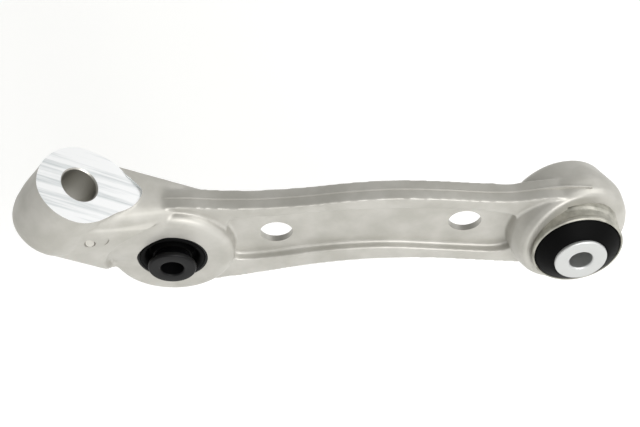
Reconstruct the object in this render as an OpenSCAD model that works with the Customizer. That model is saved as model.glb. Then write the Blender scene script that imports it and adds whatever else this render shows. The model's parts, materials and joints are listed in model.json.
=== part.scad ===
// Forged aluminium lower control arm with its two pressed-in rubber bushes.
// Millimetres. The origin is the centre of the chassis bush. +Z is up in the car, the arm runs
// out towards the wheel along -X, and -Y is the side with the open face of both bushes.

/* [Arm layout] */
// Distance from the chassis bush to the damper bush along the arm
damper_x = 247; // [240:1:255]
// How far the damper bush sits below the chassis bush
damper_drop = 5; // [3:0.5:8]
// Distance from the chassis bush to the ball stud seat along the arm
ball_x = 296; // [292:1:302]
// Height of the ball stud seat face over the chassis bush
ball_z = 62; // [58:1:64]
// Offset of the ball stud seat towards the open side
ball_y = 6; // [2:0.5:8]
// Lean of the ball stud axis towards the chassis bush, in degrees
ball_lean = 31; // [28:1:33]
// Turn of the chassis bush axis about the upright, in degrees
chassis_yaw = 5; // [0:0.5:6]
// Rise of the chassis bush axis towards the open side, in degrees
chassis_pitch = 7.5; // [0:0.5:8]

/* [Beam] */
// Width of the flanges across the arm
flange_w = 13.4; // [12:0.2:16]
// Thickness of the web between the pockets
web_t = 4; // [3:0.5:6]
// Radius of the two lightening holes in the web
web_hole_r = 10.2; // [8:0.2:10.6]

/* [Housings] */
// Outer radius of the chassis bush housing
chassis_housing_r = 36; // [34:0.5:38]
// Outer radius of the damper bush housing
damper_housing_r = 38.7; // [35:0.1:39]
// Outer radius of the ball stud boss
ball_boss_r = 27; // [26:0.5:29]
// Length of the ball stud boss along its axis
ball_boss_l = 45; // [40:1:48]
// Radius of the ball stud seat
ball_bore_r = 11; // [9:0.5:12]

/* [Bushes] */
// Bolt clearance radius of both inner sleeves, for M14 bolts
bolt_r = 7.15; // [7.1:0.05:7.3]
// Outer radius of the chassis bush
chassis_bush_r = 28.4; // [27:0.2:29]
// Half length of the chassis bush outer sleeve
chassis_sleeve_half = 23; // [22:0.5:24]
// Half length of the chassis bush inner sleeve
chassis_core_half = 31.7; // [30:0.1:33]
// Radius of the chassis bush inner sleeve at its ends
chassis_core_r = 16.2; // [15:0.2:17]
// Outer radius of the damper bush
damper_bush_r = 21.7; // [20:0.1:22]
// Half length of the damper bush outer sleeve
damper_sleeve_half = 14; // [13:0.5:15]
// Half length of the damper bush inner sleeve
damper_core_half = 22.7; // [21:0.1:24]
// Radius of the damper bush inner sleeve's flared ends
damper_flare_r = 14.8; // [13:0.1:15]

/* [Hidden] */
round_fn = 96;
blend_fn = 32;
eps = 0.01;
bond_gap = 0.05;            // room between bonded pieces that turn against each other

aluminium = [0.78, 0.77, 0.74];
bright_aluminium = [0.86, 0.87, 0.88];
black_rubber = [0.06, 0.06, 0.07];
black_steel = [0.12, 0.12, 0.13];
bare_steel = [0.55, 0.55, 0.56];

// Chassis housing along its own axis
chassis_front = 12.5;       // front face
chassis_back = -23;       // rear face
chassis_shoulder = 5.5;     // height of the sloping shoulder round the front face
// The chassis housing's outside is forged a little off the bush's axis
chassis_housing_at = [-0.5, 0, -0.5];
chassis_housing_turn = 8;   // further turn about the upright, in degrees
chassis_taper = 2.5;        // how much smaller its rear end is
// Damper housing along its own axis
damper_shoulder = 5;        // width and depth of the sloping edge

// Places along the beam's two edges, from the ball end to the chassis housing: [x, z]
top_edge = [[-290, 60], [-276, 51], [-264, 43.5], [-256, 41.5], [-247, 41], [-234, 38.5], [-216, 36.2],
    [-190, 34], [-165, 35], [-140, 38.5], [-113, 40.5], [-85, 39], [-60, 35.5], [-38, 33], [-20, 34.5], [0, 35]];
bottom_edge = [[0, -34], [-28, -32], [-60, -28], [-90, -24.5], [-125, -24], [-160, -28], [-190, -34.5],
    [-220, -40.5], [-247, -41.5], [-268, -36], [-284, -22], [-296, -8], [-310, 4]];
// The pocket's edges, each in from the beam's own edge
pocket_top = [[-214, 20], [-207, 24.5], [-186, 24.5], [-168, 26], [-148, 28], [-118, 29], [-85, 27.5],
    [-60, 24.5], [-42, 20.5], [-36, 15]];
pocket_bottom = [[-33, -8], [-36, -15.5], [-45, -18], [-62, -16.5], [-85, -13.5], [-110, -10.5],
    [-135, -10.5], [-160, -13], [-185, -17.5], [-205, -19.5], [-210.5, -15]];
web_holes = [[-182.5, 2.5], [-66, 8.5]];

// Ride-height sensor hole on the neck
sensor_at = [-294, -19.5, 30];
sensor_hole_r = 3.4;
sensor_hole_l = 11;
sensor_pad_r = 7.5;

// ---- Curves ----
function spline_point(a, b, c, d, t) =
    0.5 * ((2 * b) + (c - a) * t + (2 * a - 5 * b + 4 * c - d) * t * t
        + (3 * b - a - 3 * c + d) * t * t * t);
// A smooth line through pts, with steps points in each stretch
function smooth_line(pts, steps) = [
    for (i = [0 : len(pts) - 2])
        for (s = [0 : steps - 1])
            spline_point(pts[max(i - 1, 0)], pts[i], pts[i + 1],
                pts[min(i + 2, len(pts) - 1)], s / steps),
    pts[len(pts) - 1]];

// ---- Places ----
module on_chassis_axis() {
    rotate([90 - chassis_pitch, 0, chassis_yaw]) children();
}
module on_damper_axis() {
    translate([-damper_x, 0, -damper_drop]) rotate([90, 0, 0]) children();
}
module on_ball_axis() {
    translate([-ball_x, -ball_y, ball_z]) rotate([0, ball_lean, 0]) children();
}
// A flat outline in X and Z, thickened across the arm
module slab(points, from_y, to_y) {
    translate([0, to_y, 0]) rotate([90, 0, 0])
        linear_extrude(height = to_y - from_y) polygon(points);
}
// A ring turned from a closed outline of [radius, height] points
module turned(points) {
    rotate_extrude($fn = round_fn) polygon(points);
}
module rod(r, from_z, to_z, r2 = 0) {
    translate([0, 0, from_z])
        cylinder(r1 = r, r2 = r2 == 0 ? r : r2, h = to_z - from_z, $fn = round_fn);
}

// ---- Forging ----
module beam() {
    half = flange_w / 2;
    outline = concat(smooth_line(top_edge, 4), smooth_line(bottom_edge, 4));
    pocket = concat(smooth_line(pocket_top, 4), smooth_line(pocket_bottom, 4));
    difference() {
        slab(outline, -half, half);
        slab(pocket, -half - 1, -web_t / 2);
        slab(pocket, web_t / 2, half + 1);
    }
}
module chassis_housing() {
    back_chamfer = 2.5;
    back_r = chassis_housing_r - chassis_taper;
    translate(chassis_housing_at) rotate([0, 0, chassis_housing_turn]) on_chassis_axis() turned([
        [0, chassis_back], [back_r - back_chamfer, chassis_back],
        [back_r, chassis_back + back_chamfer], [chassis_housing_r, 0],
        [chassis_housing_r, chassis_front - chassis_shoulder],
        [chassis_bush_r + 3, chassis_front], [0, chassis_front]]);
}
module damper_housing() {
    h = damper_sleeve_half;
    flat_half = h - damper_shoulder;
    ring_r = damper_housing_r - damper_shoulder;
    on_damper_axis() turned([
        [0, -h], [ring_r, -h], [damper_housing_r, -flat_half],
        [damper_housing_r, flat_half], [ring_r, h], [0, h]]);
}
module ball_boss() {
    foot = -ball_boss_l;
    uncut = 4;
    on_ball_axis() turned([
        [0, foot], [ball_boss_r - 7, foot], [ball_boss_r - 2, foot + 4], [ball_boss_r, foot + 9],
        [ball_boss_r, uncut], [0, uncut]]);
}
// The thick neck between the ball stud boss and the damper housing, and the ridge along its top
module neck() {
    hull() {
        on_ball_axis() translate([0, 0, -ball_boss_l + 7])
            cylinder(r = ball_boss_r - 2, h = 22, $fn = blend_fn);
        on_damper_axis() translate([0, 0, -11])
            cylinder(r = damper_housing_r - 7, h = 22, $fn = blend_fn);
    }
    hull() {
        on_ball_axis() translate([0, 2.5, -30])
            cylinder(r = ball_boss_r - 2.7, h = 33, $fn = blend_fn);
        translate([-262, 2.5, 31]) rotate([0, 90, 0])
            cylinder(r1 = 9, r2 = 6.5, h = 26, $fn = blend_fn);
    }
}
module seat_cutter() {
    clear_h = 40;
    on_ball_axis() rod(ball_boss_r + 11.5, 0, clear_h);
}
module sensor_hole() {
    translate(sensor_at) rotate([90, 0, 0]) {
        rod(sensor_pad_r, 0, 20);
        rod(sensor_hole_r, -sensor_hole_l, eps);
    }
}
module arm_forging() {
    chamfer = 1;
    past = 60;
    color(aluminium) difference() {
        union() {
            beam();
            chassis_housing();
            damper_housing();
            ball_boss();
            neck();
        }
        seat_cutter();
        on_chassis_axis() rod(chassis_bush_r, -past, past);
        on_damper_axis() rod(damper_bush_r, -past, past);
        on_ball_axis() {
            rod(ball_bore_r, -past, past);
            rod(ball_bore_r, -chamfer, eps, ball_bore_r + chamfer);
        }
        for (at = web_holes) translate([at[0], 0, at[1]]) rotate([90, 0, 0])
            rod(web_hole_r, -flange_w, flange_w);
        sensor_hole();
    }
}

// ---- Chassis bush ----
chassis_wall = 1.6;
chassis_bush_in = chassis_bush_r - chassis_wall;
middle_out = 24.1;
middle_in = 22.6;
middle_half = 17;
core_bulge_r = 18.6;

module chassis_bush_outer_sleeve() {
    neck_r = chassis_bush_r - 0.8;
    h = chassis_sleeve_half;
    color(bright_aluminium) on_chassis_axis() turned([
        [chassis_bush_in, -h], [chassis_bush_r - 0.8, -h], [chassis_bush_r, -h + 0.8],
        [chassis_bush_r, chassis_front + 0.6], [neck_r, chassis_front + 2.2], [neck_r, h - 3.2],
        [chassis_bush_r, h - 2.2], [chassis_bush_r, h - 0.7], [chassis_bush_r - 0.7, h],
        [chassis_bush_in, h]]);
}
module chassis_bush_outer_rubber() {
    color(black_rubber) on_chassis_axis() turned([
        [middle_out + bond_gap, -middle_half], [chassis_bush_in, -middle_half],
        [chassis_bush_in, middle_half], [middle_out + bond_gap, middle_half]]);
}
module chassis_bush_middle_sleeve() {
    color(bare_steel) on_chassis_axis() turned([
        [middle_in, -middle_half + 1], [middle_out, -middle_half + 1],
        [middle_out, middle_half - 1], [middle_in, middle_half - 1]]);
}
// Radius of the inner sleeve at a height along its axis: a smooth bulge at its middle
function core_r(z) = let (reach = 16)
    chassis_core_r + (core_bulge_r - chassis_core_r) * (1 + cos(180 * min(abs(z), reach) / reach)) / 2;
core_steps = [for (z = [-16 : 4 : 16]) [core_r(z), z]];

module chassis_bush_main_rubber() {
    out_r = chassis_bush_in - bond_gap;
    lip = 29.8;                             // where the end cone meets the inner sleeve
    rim = chassis_sleeve_half - 1;
    front_cone = [[out_r, rim], [out_r - 3, rim + 2.6], [out_r - 7, rim + 5.6],
        [chassis_core_r + 1.2, lip], [chassis_core_r + bond_gap, lip]];
    back_cone = [for (i = [len(front_cone) - 1 : -1 : 0]) [front_cone[i][0], -front_cone[i][1]]];
    inner_wall = [for (i = [len(core_steps) - 1 : -1 : 0])
        [core_steps[i][0] + bond_gap, core_steps[i][1]]];
    step = middle_half + bond_gap;
    color(black_rubber) on_chassis_axis() turned(concat(
        back_cone,
        [[out_r, -step], [middle_out, -step], [middle_out, -middle_half + 1],
            [middle_in, -middle_half + 1], [middle_in, middle_half - 1],
            [middle_out, middle_half - 1], [middle_out, step], [out_r, step]],
        front_cone,
        inner_wall));
}
module chassis_bush_inner_sleeve() {
    h = chassis_core_half;
    edge = 0.6;
    color(bright_aluminium) on_chassis_axis() turned(concat(
        [[bolt_r, -h], [chassis_core_r - edge, -h], [chassis_core_r, -h + edge]],
        core_steps,
        [[chassis_core_r, h - edge], [chassis_core_r - edge, h], [bolt_r, h]]));
}

// ---- Damper bush ----
damper_wall = 1.5;
damper_bush_in = damper_bush_r - damper_wall;
damper_tube_r = 10.6;
flare_start = 13.5;
flare_end = 19.6;

module damper_bush_outer_sleeve() {
    h = damper_sleeve_half;
    edge = 0.5;
    color(black_steel) on_damper_axis() turned([
        [damper_bush_in, -h], [damper_bush_r - edge, -h], [damper_bush_r, -h + edge],
        [damper_bush_r, h - edge], [damper_bush_r - edge, h], [damper_bush_in, h]]);
}
module damper_bush_rubber() {
    groove_z = 7.5;
    bead_z = damper_sleeve_half + 0.4;
    tube_r = damper_tube_r + bond_gap;
    // One end, from the outer sleeve inwards: bead, groove, then the collar up the inner sleeve
    end = [[damper_bush_in, damper_sleeve_half - 0.4], [damper_bush_in - 1, bead_z],
        [damper_bush_in - 2.4, bead_z - 0.1], [damper_bush_in - 4, bead_z - 2],
        [damper_bush_in - 5, groove_z + 1], [damper_bush_in - 6, groove_z],
        [tube_r + 2.2, groove_z + 1], [tube_r + 1.3, flare_start - 0.5], [tube_r, flare_start - 0.5]];
    other = [for (i = [len(end) - 1 : -1 : 0]) [end[i][0], -end[i][1]]];
    color(black_rubber) on_damper_axis() turned(concat(end, other));
}
module damper_bush_inner_sleeve() {
    h = damper_core_half;
    edge = 0.7;
    side = [[damper_tube_r, flare_start], [damper_flare_r - 0.8, flare_end - 0.9],
        [damper_flare_r, flare_end], [damper_flare_r, h - edge], [damper_flare_r - edge, h],
        [bolt_r, h]];
    other = [for (i = [len(side) - 1 : -1 : 0]) [side[i][0], -side[i][1]]];
    color(black_steel) on_damper_axis() turned(concat(other, side));
}

arm_forging();
chassis_bush_outer_sleeve();
chassis_bush_outer_rubber();
chassis_bush_middle_sleeve();
chassis_bush_main_rubber();
chassis_bush_inner_sleeve();
damper_bush_outer_sleeve();
damper_bush_rubber();
damper_bush_inner_sleeve();
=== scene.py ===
# %% [markdown]
# A lower control arm ties a car's wheel to its body. This one is a single aluminium forging with
# a rubber bush pressed into each end and an open seat for the ball joint's stud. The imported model
# is loaded first and is the fixed frame: every piece made here takes its place from it.

# %% load the frame
import json
import math
import bpy
from mathutils import Matrix, Vector


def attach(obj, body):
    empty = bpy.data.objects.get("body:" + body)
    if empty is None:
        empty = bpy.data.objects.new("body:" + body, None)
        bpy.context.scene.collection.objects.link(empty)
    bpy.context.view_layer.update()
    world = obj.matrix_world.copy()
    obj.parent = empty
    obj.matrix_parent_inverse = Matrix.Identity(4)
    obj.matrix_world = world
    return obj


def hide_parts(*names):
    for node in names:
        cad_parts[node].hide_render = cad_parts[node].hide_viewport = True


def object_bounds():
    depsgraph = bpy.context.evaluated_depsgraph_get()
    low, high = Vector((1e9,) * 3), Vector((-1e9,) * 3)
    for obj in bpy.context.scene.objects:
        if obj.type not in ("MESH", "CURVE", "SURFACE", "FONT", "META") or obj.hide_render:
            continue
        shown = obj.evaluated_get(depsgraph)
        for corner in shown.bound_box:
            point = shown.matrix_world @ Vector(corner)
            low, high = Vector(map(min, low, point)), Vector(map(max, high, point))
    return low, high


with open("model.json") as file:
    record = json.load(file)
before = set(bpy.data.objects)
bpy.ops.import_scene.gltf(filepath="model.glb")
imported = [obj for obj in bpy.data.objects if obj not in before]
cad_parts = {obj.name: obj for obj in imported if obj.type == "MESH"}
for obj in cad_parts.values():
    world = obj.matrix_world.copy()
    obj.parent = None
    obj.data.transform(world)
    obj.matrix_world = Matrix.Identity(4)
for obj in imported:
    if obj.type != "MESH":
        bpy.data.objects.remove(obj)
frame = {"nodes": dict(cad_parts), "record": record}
nodes = frame["nodes"]
mounts = {m["name"]: m for m in frame["record"]["mounts"]}
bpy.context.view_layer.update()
print("pieces in the frame:", sorted(nodes))

# %% [markdown]
# Three axes carry everything: the chassis bush, the damper bush and the leaning ball stud seat.
# Turned pieces are shaped upright about the world's Z and then set on their axis, so one small
# function gives the matrix of a mount. All sizes below are in millimetres, as on a drawing.

# %% places
MM = 0.001


def place(mount, along=0.0):
    """Stands an upright piece on a mount's axis, moved along it by that many millimetres."""
    axis = Vector(mounts[mount]["axis"]).normalized()
    at = Vector(mounts[mount]["pos_m"]) + axis * along * MM
    return Matrix.Translation(at) @ axis.to_track_quat("Z", "Y").to_matrix().to_4x4()


CHASSIS = place("chassis_bolt_bore")
DAMPER = place("damper_bolt_bore")
# the ball stud's seat leans about Y only, so its own Y stays the world's
stud = Vector(mounts["ball_stud_seat_face"]["axis"])
BALL = (Matrix.Translation(place("ball_stud_bore", 20).translation)
        @ Matrix.Rotation(math.atan2(stud.x, stud.z), 4, "Y"))
print("ball stud seat at", [round(x / MM, 1) for x in BALL.translation])

# %% [markdown]
# An operator acts on whatever is selected, so each step selects its own faces, edges or vertices
# by where they are. The helper takes a test in millimetres and leaves the piece in edit mode.

# %% selecting
def only(obj):
    """Object mode, with obj the one selected, active object."""
    if bpy.context.object and bpy.context.object.mode == "EDIT":
        bpy.ops.object.mode_set(mode="OBJECT")
    bpy.ops.object.select_all(action="DESELECT")
    obj.select_set(True)
    bpy.context.view_layer.objects.active = obj
    return obj


def pick(obj, kind, test):
    """Edit mode with the vertices, edges or polygons selected that pass test(centre, points)."""
    only(obj)
    bpy.ops.object.mode_set(mode="EDIT")
    bpy.ops.mesh.select_mode(type={"vertices": "VERT", "edges": "EDGE", "polygons": "FACE"}[kind])
    bpy.ops.mesh.select_all(action="DESELECT")
    bpy.ops.object.mode_set(mode="OBJECT")
    mesh, found = obj.data, 0
    for item in getattr(mesh, kind):
        ids = [item.index] if kind == "vertices" else item.vertices
        points = [mesh.vertices[i].co / MM for i in ids]
        item.select = bool(test(sum(points, Vector()) / len(points), points))
        found += item.select
    bpy.ops.object.mode_set(mode="EDIT")
    return found


def done(obj, matrix=None):
    """Back to object mode, with the piece's place put into its mesh."""
    only(obj)
    if matrix is not None:
        obj.matrix_world = matrix @ obj.matrix_world
    bpy.ops.object.transform_apply(location=True, rotation=True, scale=True)
    return obj


def modify(obj, kind, **settings):
    """Adds a modifier and applies it at once."""
    only(obj)
    modifier = obj.modifiers.new(kind.title(), kind)
    for key, value in settings.items():
        setattr(modifier, key, value)
    bpy.ops.object.modifier_apply(modifier=modifier.name)
    return obj


# %% [markdown]
# The beam is drawn as two edge lines seen from the side. A few given places and a smooth
# curve through them are enough, because a forging die has no sudden changes. The same places
# drive the CAD model, so both agree.

# %% edge lines of the beam
TOP_EDGE = [(-290, 50), (-276, 43.5), (-266, 39.5), (-257, 38.2), (-249, 38),
            (-240, 37.9), (-231, 37.4), (-219, 35.8), (-205, 34.8), (-190, 34.7), (-165, 36.2),
            (-140, 39.2), (-113, 40.8), (-85, 39), (-60, 35.8), (-47, 34.6), (-37, 34.6), (-27, 36),
            (-16, 37.4), (-6, 37), (9, 35)]
BOTTOM_EDGE = [(-296, -8), (-284, -22), (-268, -36), (-247, -41.5), (-220, -40.5), (-190, -34.5),
               (-160, -28), (-125, -24), (-90, -24.5), (-60, -28), (-28, -32), (0, -34), (9, -34)]
POCKET_TOP = [(-212.5, 13), (-211.5, 19.5), (-208, 23.2), (-200, 24.4), (-186, 24.8),
              (-168, 26.2), (-148, 28.2), (-118, 29), (-85, 27.5), (-60, 24.5), (-44, 21),
              (-37, 18.5), (-34, 14)]
POCKET_BOTTOM = [(-212.5, -10), (-211, -16), (-205, -19), (-185, -17.5), (-160, -13),
                 (-135, -10.5), (-110, -10.5), (-85, -13.5), (-62, -16.5), (-46, -18),
                 (-38, -16), (-34, -11)]


def height(line, x):
    """Height at x of a smooth curve through the line's places."""
    x = min(max(x, line[0][0]), line[-1][0])
    i = max(k for k in range(len(line) - 1) if line[k][0] <= x)
    (x1, z1), (x2, z2) = line[i], line[i + 1]
    x0, z0 = line[max(i - 1, 0)]
    x3, z3 = line[min(i + 2, len(line) - 1)]
    t, span = (x - x1) / (x2 - x1), x2 - x1
    rise1, rise2 = span * (z2 - z0) / (x2 - x0), span * (z3 - z1) / (x3 - x1)
    return ((2 * t**3 - 3 * t**2 + 1) * z1 + (t**3 - 2 * t**2 + t) * rise1
            + (3 * t**2 - 2 * t**3) * z2 + (t**3 - t**2) * rise2)


def bar(name, x_span, y_span, top, bottom, slope=0.0, cuts=90):
    """A bar across the arm whose two edges follow the lines. slope leans both edges in as they
    leave the middle plane, as draft does in a die."""
    bpy.ops.object.select_all(action="DESELECT")
    (x0, x1), (y0, y1) = x_span, y_span
    bpy.ops.mesh.primitive_cube_add(size=1)
    obj = bpy.context.object
    obj.name, obj.scale = name, ((x1 - x0) * MM, (y1 - y0) * MM, 20 * MM)
    obj.location = ((x0 + x1) / 2 * MM, (y0 + y1) / 2 * MM, 0)
    done(obj)
    pick(obj, "edges", lambda c, p: abs(p[0].x - p[1].x) > 1)
    bpy.ops.mesh.subdivide(number_cuts=cuts)
    pick(obj, "edges", lambda c, p: abs(p[0].y - p[1].y) > 0.1)
    bpy.ops.mesh.subdivide(number_cuts=1)
    bpy.ops.object.mode_set(mode="OBJECT")
    for v in obj.data.vertices:
        x, lean = v.co.x / MM, slope * abs(v.co.y / MM)
        v.co.z = MM * (height(top, x) - lean if v.co.z > 0 else height(bottom, x) + lean)
    return obj


BEAM_SPAN = (-288, -3)  # both ends stay buried in the housings
FLANGE_HALF = 7.3
beam = bar("beam", BEAM_SPAN, (-FLANGE_HALF, FLANGE_HALF), TOP_EDGE, BOTTOM_EDGE, slope=0.05)
print("beam:", [round(d / MM) for d in beam.dimensions], "mm")

# %% [markdown]
# A web 4 mm thick between two flanges is light and stiff, so the die presses a pocket into each
# side. Each pocket is cut with a bar of its own outline, whose walls lean outwards for the die.

# %% pockets
def boolean(obj, tool, operation="DIFFERENCE"):
    """Cuts or joins with a tool, hands its material on to the new faces and removes it."""
    modify(obj, "BOOLEAN", object=tool, operation=operation, solver="EXACT",
           material_mode="TRANSFER")
    bpy.data.objects.remove(tool)
    return obj


WEB_HALF, PAST_FLANGE = 2.1, 9
POCKET_SPAN = (POCKET_TOP[0][0], POCKET_TOP[-1][0])
for side in (-1, 1):
    span = sorted((side * WEB_HALF, side * PAST_FLANGE))
    tool = bar("pocket", POCKET_SPAN, span, POCKET_TOP, POCKET_BOTTOM, slope=-0.16, cuts=60)
    boolean(beam, tool)
print("beam faces after pockets:", len(beam.data.polygons))

# %% [markdown]
# Both housings and the ball stud boss are round. Each is turned: a chain of vertices is extruded
# as half a section, spun once round, merged where it meets itself, and given rounded edges with a
# bevel. The bores are left filled for now, because a blank leaves the press solid.

# %% turning
def turned(name, outline, matrix, edge=0.0, segments=3, steps=96, angle=25):
    """Spins an outline of (radius, height) places about Z. edge is the bevel of its corners."""
    bpy.ops.object.select_all(action="DESELECT")
    bpy.ops.mesh.primitive_plane_add(size=MM)
    obj = bpy.context.object
    obj.name = name
    bpy.ops.object.mode_set(mode="EDIT")
    bpy.ops.mesh.select_mode(type="VERT")
    bpy.ops.mesh.select_all(action="SELECT")
    bpy.ops.mesh.merge(type="CENTER")
    bpy.ops.transform.translate(value=(outline[0][0] * MM, 0, outline[0][1] * MM))
    for (r1, z1), (r2, z2) in zip(outline, outline[1:]):
        bpy.ops.mesh.extrude_vertices_move(
            TRANSFORM_OT_translate={"value": ((r2 - r1) * MM, 0, (z2 - z1) * MM)})
    if outline[0][0] > 0:
        ends = [Vector((r, 0, z)) for r, z in (outline[0], outline[-1])]
        pick(obj, "vertices", lambda c, p: min((c - e).length for e in ends) < 0.01)
        bpy.ops.mesh.edge_face_add()
    bpy.ops.mesh.select_all(action="SELECT")
    bpy.ops.mesh.spin(steps=steps, angle=2 * math.pi, center=(0, 0, 0), axis=(0, 0, 1))
    bpy.ops.mesh.select_all(action="SELECT")
    bpy.ops.mesh.remove_doubles(threshold=0.002 * MM)
    bpy.ops.mesh.normals_make_consistent(inside=False)
    done(obj)
    if edge:
        modify(obj, "BEVEL", width=edge * MM, segments=segments, limit_method="ANGLE",
               angle_limit=math.radians(angle), use_clamp_overlap=True)
    return done(obj, matrix)


# the chassis housing's outside was forged a little off its bush's axis
HOUSING = (Matrix.Translation(Vector((-1.9, 0, 0.2)) * MM)
           @ Matrix.Rotation(math.radians(13), 4, "Z") @ Matrix.Rotation(math.radians(-1), 4, "X")
           @ CHASSIS)
chassis_housing = turned("chassis_housing", [
    (0, -23), (31, -23), (34.8, -19), (38.2, -1.5), (38.2, 1.5), (36.5, 9), (34.4, 12.6),
    (0, 12.6)], HOUSING, edge=0.8)
damper_housing = turned("damper_housing", [
    (0, -14.2), (37, -14.2), (38.6, -12.7), (38.6, 7.4), (38.5, 10), (37.1, 12.1), (35, 13.6),
    (32, 14.2), (0, 14.2)], DAMPER, edge=0.8)
print("two housings made")

# %% [markdown]
# The boss under the ball stud is not quite round: it reaches out in a beak towards the beam, where
# the metal flowed along the top. Its outline is given as radii at a few angles, and the
# outline is extruded down the stud's axis and drawn in at the foot.

# %% ball stud boss
SEAT_OUTLINE = [(0, 36.3), (12, 39.6), (21, 36.2), (31, 33), (44, 32), (56, 30), (72, 27.8),
                (90, 27), (112, 25.8), (134, 25), (158, 25.2), (180, 26.3), (205, 28), (235, 28),
                (258, 27.4), (275, 26.8), (296, 25.6), (316, 25.4), (332, 26.8), (344, 30),
                (352, 33.4), (360, 36.3)]
FOOT = [(-8, 1.0), (-24, 1.025), (-34, 1.01), (-38, 0.985), (-41, 0.94), (-43.5, 0.87),
        (-45, 0.77)]


def extruded(name, outline, top, steps, matrix, sides=120):
    """A solid with that outline of (angle, radius) at its top, extruded down through steps of
    (height, size against the outline)."""
    bpy.ops.object.select_all(action="DESELECT")
    bpy.ops.mesh.primitive_circle_add(vertices=sides, radius=MM, fill_type="NGON")
    obj = bpy.context.object
    obj.name = name
    for v in obj.data.vertices:
        angle = math.atan2(v.co.y, v.co.x)
        reach = height(outline, math.degrees(angle) % 360) * MM
        v.co = (reach * math.cos(angle), reach * math.sin(angle), top * MM)
    bpy.ops.object.mode_set(mode="EDIT")
    bpy.ops.mesh.select_all(action="SELECT")
    at, size = top, 1.0
    for level, scale in steps:
        bpy.ops.mesh.extrude_region_move(
            TRANSFORM_OT_translate={"value": (0, 0, (level - at) * MM)})
        bpy.ops.transform.resize(value=(scale / size, scale / size, 1))
        at, size = level, scale
    bpy.ops.mesh.select_all(action="SELECT")
    bpy.ops.mesh.normals_make_consistent(inside=False)
    return done(obj, matrix)


TO_MILL = 1.5  # the boss is forged this much too tall, and the mill takes it off
ball_boss = extruded("ball_boss", SEAT_OUTLINE, TO_MILL, FOOT, BALL)
print("boss:", [round(d / MM, 1) for d in ball_boss.dimensions], "mm")

# %% [markdown]
# Between the stud boss and the damper housing the forging is a thick neck with a ridge running
# down from the seat. A convex hull round two short cylinders makes each of these bridges, and the
# neck is then cut back round the housing so that the housing's face stands clear as a collar.

# %% neck and ridge
def hull(name, ends):
    """The convex hull of short cylinders: each end is (radius, far radius, from, to, matrix)."""
    parts = [turned(name, [(0, a), (r1, a), (r2, b), (0, b)], m, steps=48)
             for r1, r2, a, b, m in ends]
    for part in parts:
        part.select_set(True)
    bpy.context.view_layer.objects.active = parts[0]
    bpy.ops.object.join()
    bpy.ops.object.mode_set(mode="EDIT")
    bpy.ops.mesh.select_all(action="SELECT")
    bpy.ops.mesh.convex_hull()
    return done(parts[0])


ACROSS = Matrix.Rotation(math.radians(90), 4, "Y")
neck = hull("neck", [(24, 25.5, -42.5, -14, BALL), (34.5, 34, -11, 11, DAMPER)])
for side in (-1, 1):
    clear = turned("clear", [(0, side * 10.5), (37, side * 10.5), (47, side * 40), (0, side * 40)],
                   DAMPER)
    boolean(neck, clear)
back = hull("back", [
    (24.5, 24.5, -30, -6, BALL @ Matrix.Translation(Vector((0, 1, 0)) * MM)),
    (38, 38, -13.5, 1, DAMPER)])
ridge = hull("ridge", [
    (20, 21, -30, -7, BALL),
    (7, 6, 0, 26, Matrix.Translation(Vector((-264, 0.5, 27)) * MM) @ ACROSS)])
print("neck and ridge made")

# %% [markdown]
# The pieces overlap. A voxel remesh melts them into one skin, as metal flows in the die, and
# smoothing then rounds every corner into the soft fillets that a forging has. The beam gets a
# second pass, which evens out the steps that voxels leave along its edges. The places where two
# bosses meet get the most, because their fillets are larger. The mesh is thinned at the end.

# %% one forging
def join(objs):
    """Joins pieces into the first of them."""
    bpy.ops.object.select_all(action="DESELECT")
    for obj in objs:
        obj.select_set(True)
    bpy.context.view_layer.objects.active = objs[0]
    bpy.ops.object.join()
    return objs[0]


forging = join([beam, chassis_housing, damper_housing, ball_boss, neck, back, ridge])
forging.name = "forged_arm"
modify(forging, "REMESH", mode="VOXEL", voxel_size=0.8 * MM)
# middles and reaches, in millimetres, of the places with large fillets
FILLETS = [((-40, 9, 28), 11), ((-36, 5, -24), 11), ((-281, -19, 30), 12), ((-284, -18, 10), 13),
           ((-268, 14, 26), 16), ((-272, 14, 0), 22), ((-214, 0, -34), 10), ((-285, -11, -20), 16),
           ((-252, 2, 36), 13)]
BEAM = [((x, 0, 5), 48) for x in (-185, -150, -115, -80)]


def soften(obj, spots, iterations):
    """Smooths round the given places, fading out to nothing at their reach."""
    group = obj.vertex_groups.new(name="soft")
    for v in obj.data.vertices:
        near = max(1 - (v.co / MM - Vector(at)).length / reach for at, reach in spots)
        if near > 0:
            group.add([v.index], min(1, near * 2), "REPLACE")
    modify(obj, "SMOOTH", factor=0.5, iterations=iterations, vertex_group="soft")
    obj.vertex_groups.clear()


modify(forging, "SMOOTH", factor=0.5, iterations=6)
soften(forging, BEAM, 14)
soften(forging, FILLETS, 50)
modify(forging, "DECIMATE", ratio=0.62)
print("forging faces:", len(forging.data.polygons))
print("forging size:", [round(d / MM, 1) for d in forging.dimensions], "mm")

# %% [markdown]
# Three metals show. The forging was shot-blasted, which leaves a fine even grain that spreads
# light wide, with faint clouds where the skin is oxidised. The milled seat is bright, with the
# cutter's marks running down it. Bores are turned smooth. One function turns a hex colour into the
# linear values that a shader wants, and one adds a node with its settings and links.

# %% material helpers
def hex_colour(code):
    """sRGB hex to linear RGBA."""
    values = [int(code[i:i + 2], 16) / 255 for i in (0, 2, 4)]
    return tuple(v / 12.92 if v <= 0.04045 else ((v + 0.055) / 1.055) ** 2.4 for v in values) + (1,)


def add(tree, kind, inputs=None, links=None, **settings):
    """Adds a node. inputs are socket values, links are sockets fed by (node, output)."""
    made = tree.nodes.new("ShaderNode" + kind)
    for key, value in settings.items():
        setattr(made, key, value)
    for key, value in (inputs or {}).items():
        made.inputs[key].default_value = value
    for key, (source, output) in (links or {}).items():
        tree.links.new(source.outputs[output], made.inputs[key])
    return made


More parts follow.
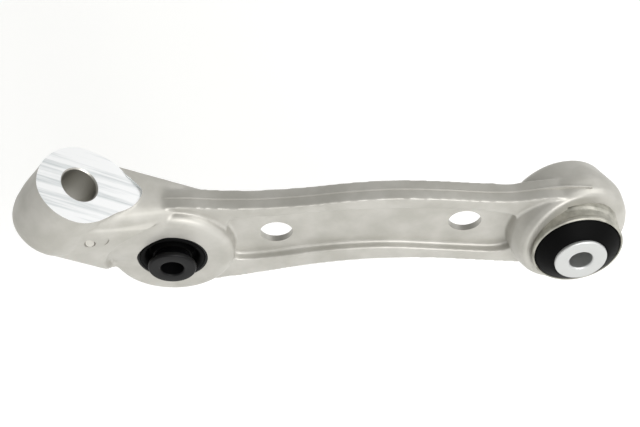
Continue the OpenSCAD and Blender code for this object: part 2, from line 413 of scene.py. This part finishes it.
def material(name, colour, metallic, roughness, **sockets):
    """A material with its fixed values on the shader. Returns it, its tree, shader and place."""
    made = bpy.data.materials.new(name)
    made.use_nodes = True
    tree = made.node_tree
    shader = tree.nodes["Principled BSDF"]
    fixed = {"Base Color": hex_colour(colour), "Metallic": metallic, "Roughness": roughness}
    for key, value in {**fixed, **sockets}.items():
        shader.inputs[key].default_value = value
    made.diffuse_color = hex_colour(colour)
    return made, tree, shader, add(tree, "TexCoord")


def per_mm(size):
    """Texture scale for a pattern whose features are that many millimetres, on metre coordinates."""
    return 1 / (size * MM)


def two_tones(tree, noise, output, dark, light, low=0.35, high=0.65):
    """A colour ramp between two hex tones, driven by a pattern."""
    ramp = add(tree, "ValToRGB", links={"Fac": (noise, output)})
    ramp.color_ramp.elements[0].position, ramp.color_ramp.elements[1].position = low, high
    ramp.color_ramp.elements[0].color = hex_colour(dark)
    ramp.color_ramp.elements[1].color = hex_colour(light)
    return ramp


def bump(tree, shader, source, output, height_mm, strength=1.0):
    """Relief of that height in millimetres under the shader."""
    made = add(tree, "Bump", {"Strength": strength, "Distance": height_mm * MM},
               {"Height": (source, output)})
    tree.links.new(made.outputs["Normal"], shader.inputs["Normal"])
    return made


# %% blasted forging
# blasting leaves a thin matt skin of oxide, so the look is less than fully metallic
blasted, tree, shader, where = material("shot-blasted forged aluminium", "B4B3AC", 0.6, 0.48)
clouds = add(tree, "TexNoise", {"Scale": per_mm(22), "Detail": 4, "Roughness": 0.55},
             {"Vector": (where, "Object")})
tone = two_tones(tree, clouds, "Fac", "ABA9A2", "BAB8B2")
tree.links.new(tone.outputs["Color"], shader.inputs["Base Color"])
grain = add(tree, "TexNoise", {"Scale": per_mm(1.4), "Detail": 3, "Roughness": 0.65},
            {"Vector": (where, "Object")})
bump(tree, shader, grain, "Fac", 0.1, 0.35)
print(blasted.name, "nodes:", len(tree.nodes))

# %% milled seat
milled, tree, shader, where = material("face-milled aluminium", "F0F2F3", 1.0, 0.28)
# the cutter's marks run down the lean of the seat, so the pattern is squeezed along it
lines = add(tree, "Mapping", {"Rotation": (0, math.atan2(stud.x, stud.z), 0),
                              "Scale": (25, 1, 1)}, {"Vector": (where, "Object")},
            vector_type="TEXTURE")
bands = add(tree, "TexNoise", {"Scale": per_mm(7), "Detail": 6, "Roughness": 0.7},
            {"Vector": (lines, "Vector")})
tone = two_tones(tree, bands, "Fac", "C6CCCD", "FBFCFC", 0.33, 0.53)
tree.links.new(tone.outputs["Color"], shader.inputs["Base Color"])
cuts = add(tree, "TexNoise", {"Scale": per_mm(1.2), "Detail": 3}, {"Vector": (lines, "Vector")})
bump(tree, shader, cuts, "Fac", 0.05, 0.5)
print(milled.name, "nodes:", len(tree.nodes))

# %% bored walls
bored, tree, shader, where = material("bored aluminium", "B4B2AC", 1.0, 0.42)
rings = add(tree, "TexNoise", {"Scale": per_mm(3), "Detail": 3}, {"Vector": (where, "Object")})
bump(tree, shader, rings, "Fac", 0.03, 0.4)
print(bored.name, "nodes:", len(tree.nodes))

# %% [markdown]
# Machining comes last, as in the factory, so its edges stay sharp against the soft forging. The
# tools are turned to the bush and stud sizes and take their finish with them into the cut. The
# mill only touches what stands up to the seat's level, so its tool has the boss's own outline.

# %% machining
def tool(name, outline, matrix, finish):
    """A turned cutter with the finish that it leaves."""
    made = turned(name, outline, matrix, steps=128)
    made.data.materials.append(finish)
    return made


forging.data.materials.clear()
forging.data.materials.append(blasted)
# the two dies met in the middle plane, and that line stands a little proud along the top. Over
# the chassis housing it follows the housing and not the beam
FLASH_PROUD, FLASH_HALF = 0.45, 0.7
flash_line = ([(x, z + FLASH_PROUD) for x, z in TOP_EDGE[:-3]]
              + [(-16, 38.3), (-4, 39.1), (9, 38.1)])
flash = bar("flash", (-259, 9), (-FLASH_HALF, FLASH_HALF), flash_line,
            [(x, z + 2) for x, z in BOTTOM_EDGE], slope=0.4)
boolean(forging, flash, "UNION")

# %% machined places
WEB_HOLES, WEB_HOLE_RADIUS = [(-182.5, 2.5), (-66, 8.5)], 10.2
STUD_RADIUS, CHASSIS_RADIUS, DAMPER_RADIUS = 11, 28.45, 21.75
SEAT_MARGIN = 0.5
# a small blind hole in the neck, and the shallow flat of a cutter that ran out beside it
SPOT_FACE = (Matrix.Translation(Vector((-287.2, -28, 34.5)) * MM)
             @ Vector((0.3, -0.95, -0.1)).to_track_quat("Z", "Y").to_matrix().to_4x4())
BLIND_HOLE = (Matrix.Translation(Vector((-292.8, -25.8, 30.6)) * MM)
              @ Vector((0.1, -0.76, 0.64)).to_track_quat("Z", "Y").to_matrix().to_4x4())
print("radii in mm:", STUD_RADIUS, CHASSIS_RADIUS, DAMPER_RADIUS, WEB_HOLE_RADIUS)

# %% cuts
seat_cut = extruded("seat_cut", [(a, r + SEAT_MARGIN) for a, r in SEAT_OUTLINE], 30, [(0, 1.0)],
                    BALL)
seat_cut.data.materials.append(milled)
boolean(forging, seat_cut)
boolean(forging, tool("stud_bore", [
    (0, -60), (STUD_RADIUS, -60), (STUD_RADIUS, -0.8), (STUD_RADIUS + 2, 1.2), (0, 1.2)],
    BALL, bored))
boolean(forging, tool("chassis_bore", [
    (0, -40), (CHASSIS_RADIUS, -40), (CHASSIS_RADIUS, 11.8), (30, 13.4), (0, 13.4)],
    CHASSIS, bored))
boolean(forging, tool("damper_bore", [
    (0, -40), (DAMPER_RADIUS, -40), (DAMPER_RADIUS, 40), (0, 40)], DAMPER, bored))
for x, z in WEB_HOLES:
    hole = Matrix.Translation(Vector((x, 0, z)) * MM) @ Matrix.Rotation(math.radians(90), 4, "X")
    boolean(forging, tool("web_hole", [
        (0, -9), (WEB_HOLE_RADIUS, -9), (WEB_HOLE_RADIUS, 9), (0, 9)], hole, bored))
boolean(forging, tool("spot_face", [(0, 0), (6.3, 0), (6.3, 20), (0, 20)], SPOT_FACE, blasted))
boolean(forging, tool("blind_hole", [
    (0, 0), (2.6, 0), (3.4, 1.4), (3.4, 20), (0, 20)], BLIND_HOLE, blasted))
only(forging)
bpy.ops.object.shade_smooth_by_angle(angle=math.radians(35))
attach(forging, "arm")
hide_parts("arm_forging")
print("forging triangles:", sum(len(p.vertices) - 2 for p in forging.data.polygons))

# %% [markdown]
# The chassis bush's outer sleeve is a thin aluminium tube whose end is rolled into a rim. Its
# wall is turned as one closed section, so the rim, the groove behind it and the inside all come
# from one outline.

# %% chassis bush sleeves
plain = material("turned matte aluminium", "C6C7C6", 1.0, 0.5)[0]
cast, tree, shader, where = material("die-cast aluminium", "A9A89F", 0.9, 0.55)
spots = add(tree, "TexNoise", {"Scale": per_mm(7), "Detail": 5, "Roughness": 0.65},
            {"Vector": (where, "Object")})
tone = two_tones(tree, spots, "Fac", "8E8D84", "B4B2A9", 0.3, 0.6)
tree.links.new(tone.outputs["Color"], shader.inputs["Base Color"])


def finish(obj, look, body, node, slot):
    """Dresses a finished piece, lets it ride on its body and puts it in its node's place."""
    obj.data.materials.clear()
    obj.data.materials.append(look)
    only(obj)
    bpy.ops.object.shade_smooth_by_angle(angle=math.radians(35))
    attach(obj, body)
    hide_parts(node)
    print(obj.name, "triangles:", sum(len(p.vertices) - 2 for p in obj.data.polygons))


outer_sleeve = turned("rolled_outer_sleeve", [
    (26.85, -23), (27.7, -23), (28.4, -22.2), (28.4, 12.8), (27.5, 14.6), (27.4, 19.2),
    (28.3, 20.6), (28.3, 22.2), (27.6, 23), (26.85, 23)], CHASSIS, edge=0.35, steps=160)
finish(outer_sleeve, cast, "arm", "chassis_bush_outer_sleeve", "bright_aluminium")
inner_sleeve = turned("bored_inner_sleeve", [
    (7.15, -30.9), (7.9, -31.7), (15.6, -31.7), (16.2, -31.1), (16.2, -16), (17.5, -8), (18.6, 0),
    (17.5, 8), (16.2, 16), (16.2, 31.1), (15.6, 31.7), (7.9, 31.7), (7.15, 30.9)],
    CHASSIS, edge=0.2, steps=128)
finish(inner_sleeve, plain, "chassis_core", "chassis_bush_inner_sleeve", "bright_aluminium")

# %% [markdown]
# The rubber was moulded between the sleeves and bonded to both. It swells out as a soft cone
# from the rim to the inner sleeve, a little hollow at the foot and round at the shoulder.

# %% rubber
rubber, tree, shader, where = material("moulded natural rubber", "050505", 0.0, 0.55)
shader.inputs["Specular IOR Level"].default_value = 0.05
skin = add(tree, "TexNoise", {"Scale": per_mm(2.2), "Detail": 4}, {"Vector": (where, "Object")})
bump(tree, shader, skin, "Fac", 0.1, 0.35)
END = [(26.7, 21.8), (26.2, 22.9), (25.2, 23.9), (23.6, 25.3), (21.6, 26.8), (19.6, 28.2),
       (18.2, 29.2), (17.2, 29.7), (16.25, 29.8)]
main_rubber = turned("main_rubber", [(r, -z) for r, z in reversed(END)] + [(26.7, -18)]
                     + [(22.7, -17), (22.7, 17), (26.7, 18)] + END
                     + [(16.25, 16), (18.65, 0), (16.25, -16)], CHASSIS, steps=160)
finish(main_rubber, rubber, "arm", "chassis_bush_main_rubber", "black_rubber")

# %% [markdown]
# The damper bush carries more load in less room, so it is stiffer: a thin ring, a ring of rubber
# with a deep groove in each end, and a steel sleeve that flares into a wide flat for the bolt.
# All of it is black. The steel is dipped and baked, which leaves a thin, fairly glossy skin.

# %% damper bush
coated, tree, shader, where = material("black e-coated steel", "080809", 0.0, 0.42)
shader.inputs["Specular IOR Level"].default_value = 0.16
skin = add(tree, "TexNoise", {"Scale": per_mm(1.8), "Detail": 4}, {"Vector": (where, "Object")})
bump(tree, shader, skin, "Fac", 0.06, 0.3)
ring = turned("pressed_in_ring", [(20.2, -14), (21.7, -14), (21.7, 14), (20.2, 14)], DAMPER,
              edge=0.4, steps=128)
finish(ring, coated, "arm", "damper_bush_outer_sleeve", "black_coated_steel")
GROOVE = [(20.2, 13.2), (19.9, 13.9), (19.2, 14.4), (18.4, 14.5), (17.6, 14.1), (16.7, 13.0),
          (16.0, 11.4), (15.5, 9.6), (15.0, 8.2), (14.3, 7.6), (13.5, 7.8), (12.9, 8.6),
          (12.5, 10.2), (12.2, 12.2), (11.9, 13.0), (11.3, 13.3), (10.65, 13.3)]
damper_rubber = turned("grooved_rubber", [(r, -z) for r, z in reversed(GROOVE)] + GROOVE, DAMPER,
                       steps=128)
finish(damper_rubber, rubber, "arm", "damper_bush_rubber", "black_rubber")
FLARE = [(10.6, 13.5), (11.6, 15.0), (14.0, 18.7), (14.8, 19.8), (14.8, 21.9), (14.0, 22.7),
         (7.9, 22.7), (7.15, 22.0)]
damper_sleeve = turned("flared_sleeve", [(r, -z) for r, z in reversed(FLARE)] + FLARE, DAMPER,
                       edge=0.25, steps=128)
finish(damper_sleeve, coated, "damper_core", "damper_bush_inner_sleeve", "black_coated_steel")

# %% [markdown]
# Two rings stay buried inside the chassis bush: an outer rubber and the steel sleeve that parts it
# from the main rubber. Nothing of them shows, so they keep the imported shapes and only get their
# finishes.

# %% buried rings
bare, tree, shader, where = material("phosphated steel", "6E6F70", 1.0, 0.5)
haze = add(tree, "TexNoise", {"Scale": per_mm(4), "Detail": 4}, {"Vector": (where, "Object")})
tone = two_tones(tree, haze, "Fac", "5F6061", "7C7D7E")
tree.links.new(tone.outputs["Color"], shader.inputs["Base Color"])
for name, look in (("chassis_bush_outer_rubber", rubber), ("chassis_bush_middle_sleeve", bare)):
    nodes[name].data.materials.clear()
    nodes[name].data.materials.append(look)
print("buried rings dressed")

# %% [markdown]
# The studio is a wide white floor, an even pale sky and two large soft lamps. The arm hangs well
# above the floor, so no shadow touches it and the floor shows white through its holes. Metal
# shows what surrounds it, so the light is broad, and the sky is darker above and to the left.

# %% studio
paper, tree, shader, where = material("matte white paper", "FAFAF9", 0.0, 0.9)
# the paper is lit a little from below, as on a light table
shader.inputs["Emission Color"].default_value = hex_colour("FFFFFF")
shader.inputs["Emission Strength"].default_value = 0.15
FLOOR_DROP = 0.25
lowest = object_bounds()[0].z
bpy.ops.object.select_all(action="DESELECT")
bpy.ops.mesh.primitive_plane_add(size=8, location=(-0.15, 0, lowest - FLOOR_DROP))
floor = bpy.context.object
floor.name = "floor"
floor.data.materials.append(paper)


def lamp(name, place_at, size, power, aim=(-0.15, 0, 0)):
    """A square soft lamp that faces the arm."""
    bpy.ops.object.light_add(type="AREA", location=place_at)
    made = bpy.context.object
    made.name, made.data.size, made.data.energy = name, size, power
    made.rotation_euler = (Vector(aim) - Vector(place_at)).to_track_quat("-Z", "Y").to_euler()
    return made


key = lamp("key_lamp", (0.5, -1.7, 1.5), 1.2, 36)
fill = lamp("fill_lamp", (1.5, 0.2, 1.5), 1.0, 16)
world = bpy.data.worlds.new("studio")
bpy.context.scene.world = world
world.use_nodes = True
tree = world.node_tree
sky = tree.nodes["Background"]
direction = add(tree, "TexCoord")
upright = add(tree, "SeparateXYZ", links={"Vector": (direction, "Generated")})
slant = add(tree, "Math", {1: -0.38, 2: 0.0}, {0: (upright, "X")}, operation="MULTIPLY_ADD")
tree.links.new(upright.outputs["Z"], slant.inputs[2])
shade = two_tones(tree, slant, "Value", "FFFFFF", "A6A6A3", 0.1, 0.75)
tree.links.new(shade.outputs["Color"], sky.inputs["Color"])
sky.inputs["Strength"].default_value = 1.0
print("floor at", round(floor.location.z, 4), "m, lamps:", key.name, fill.name)

# %% [markdown]
# The camera stands in front of the open side, a little left and well above, with a
# long lens so that the arm keeps its proportions.

# %% camera
bpy.ops.object.camera_add()
camera = bpy.context.object
camera.data.lens, camera.data.sensor_width = 84.375, 36
target, distance = Vector((-0.1554, 0, 0.0176)), 0.918
azimuth, elevation = math.radians(-2.0), math.radians(54.51)
back = Vector((math.sin(azimuth) * math.cos(elevation), -math.cos(azimuth) * math.cos(elevation),
               math.sin(elevation)))
camera.location = target + back * distance
camera.rotation_euler = (-back).to_track_quat("-Z", "Y").to_euler()
bpy.context.scene.camera = camera
bpy.context.scene.view_settings.view_transform = "Standard"
print("camera at", [round(v, 4) for v in camera.location])
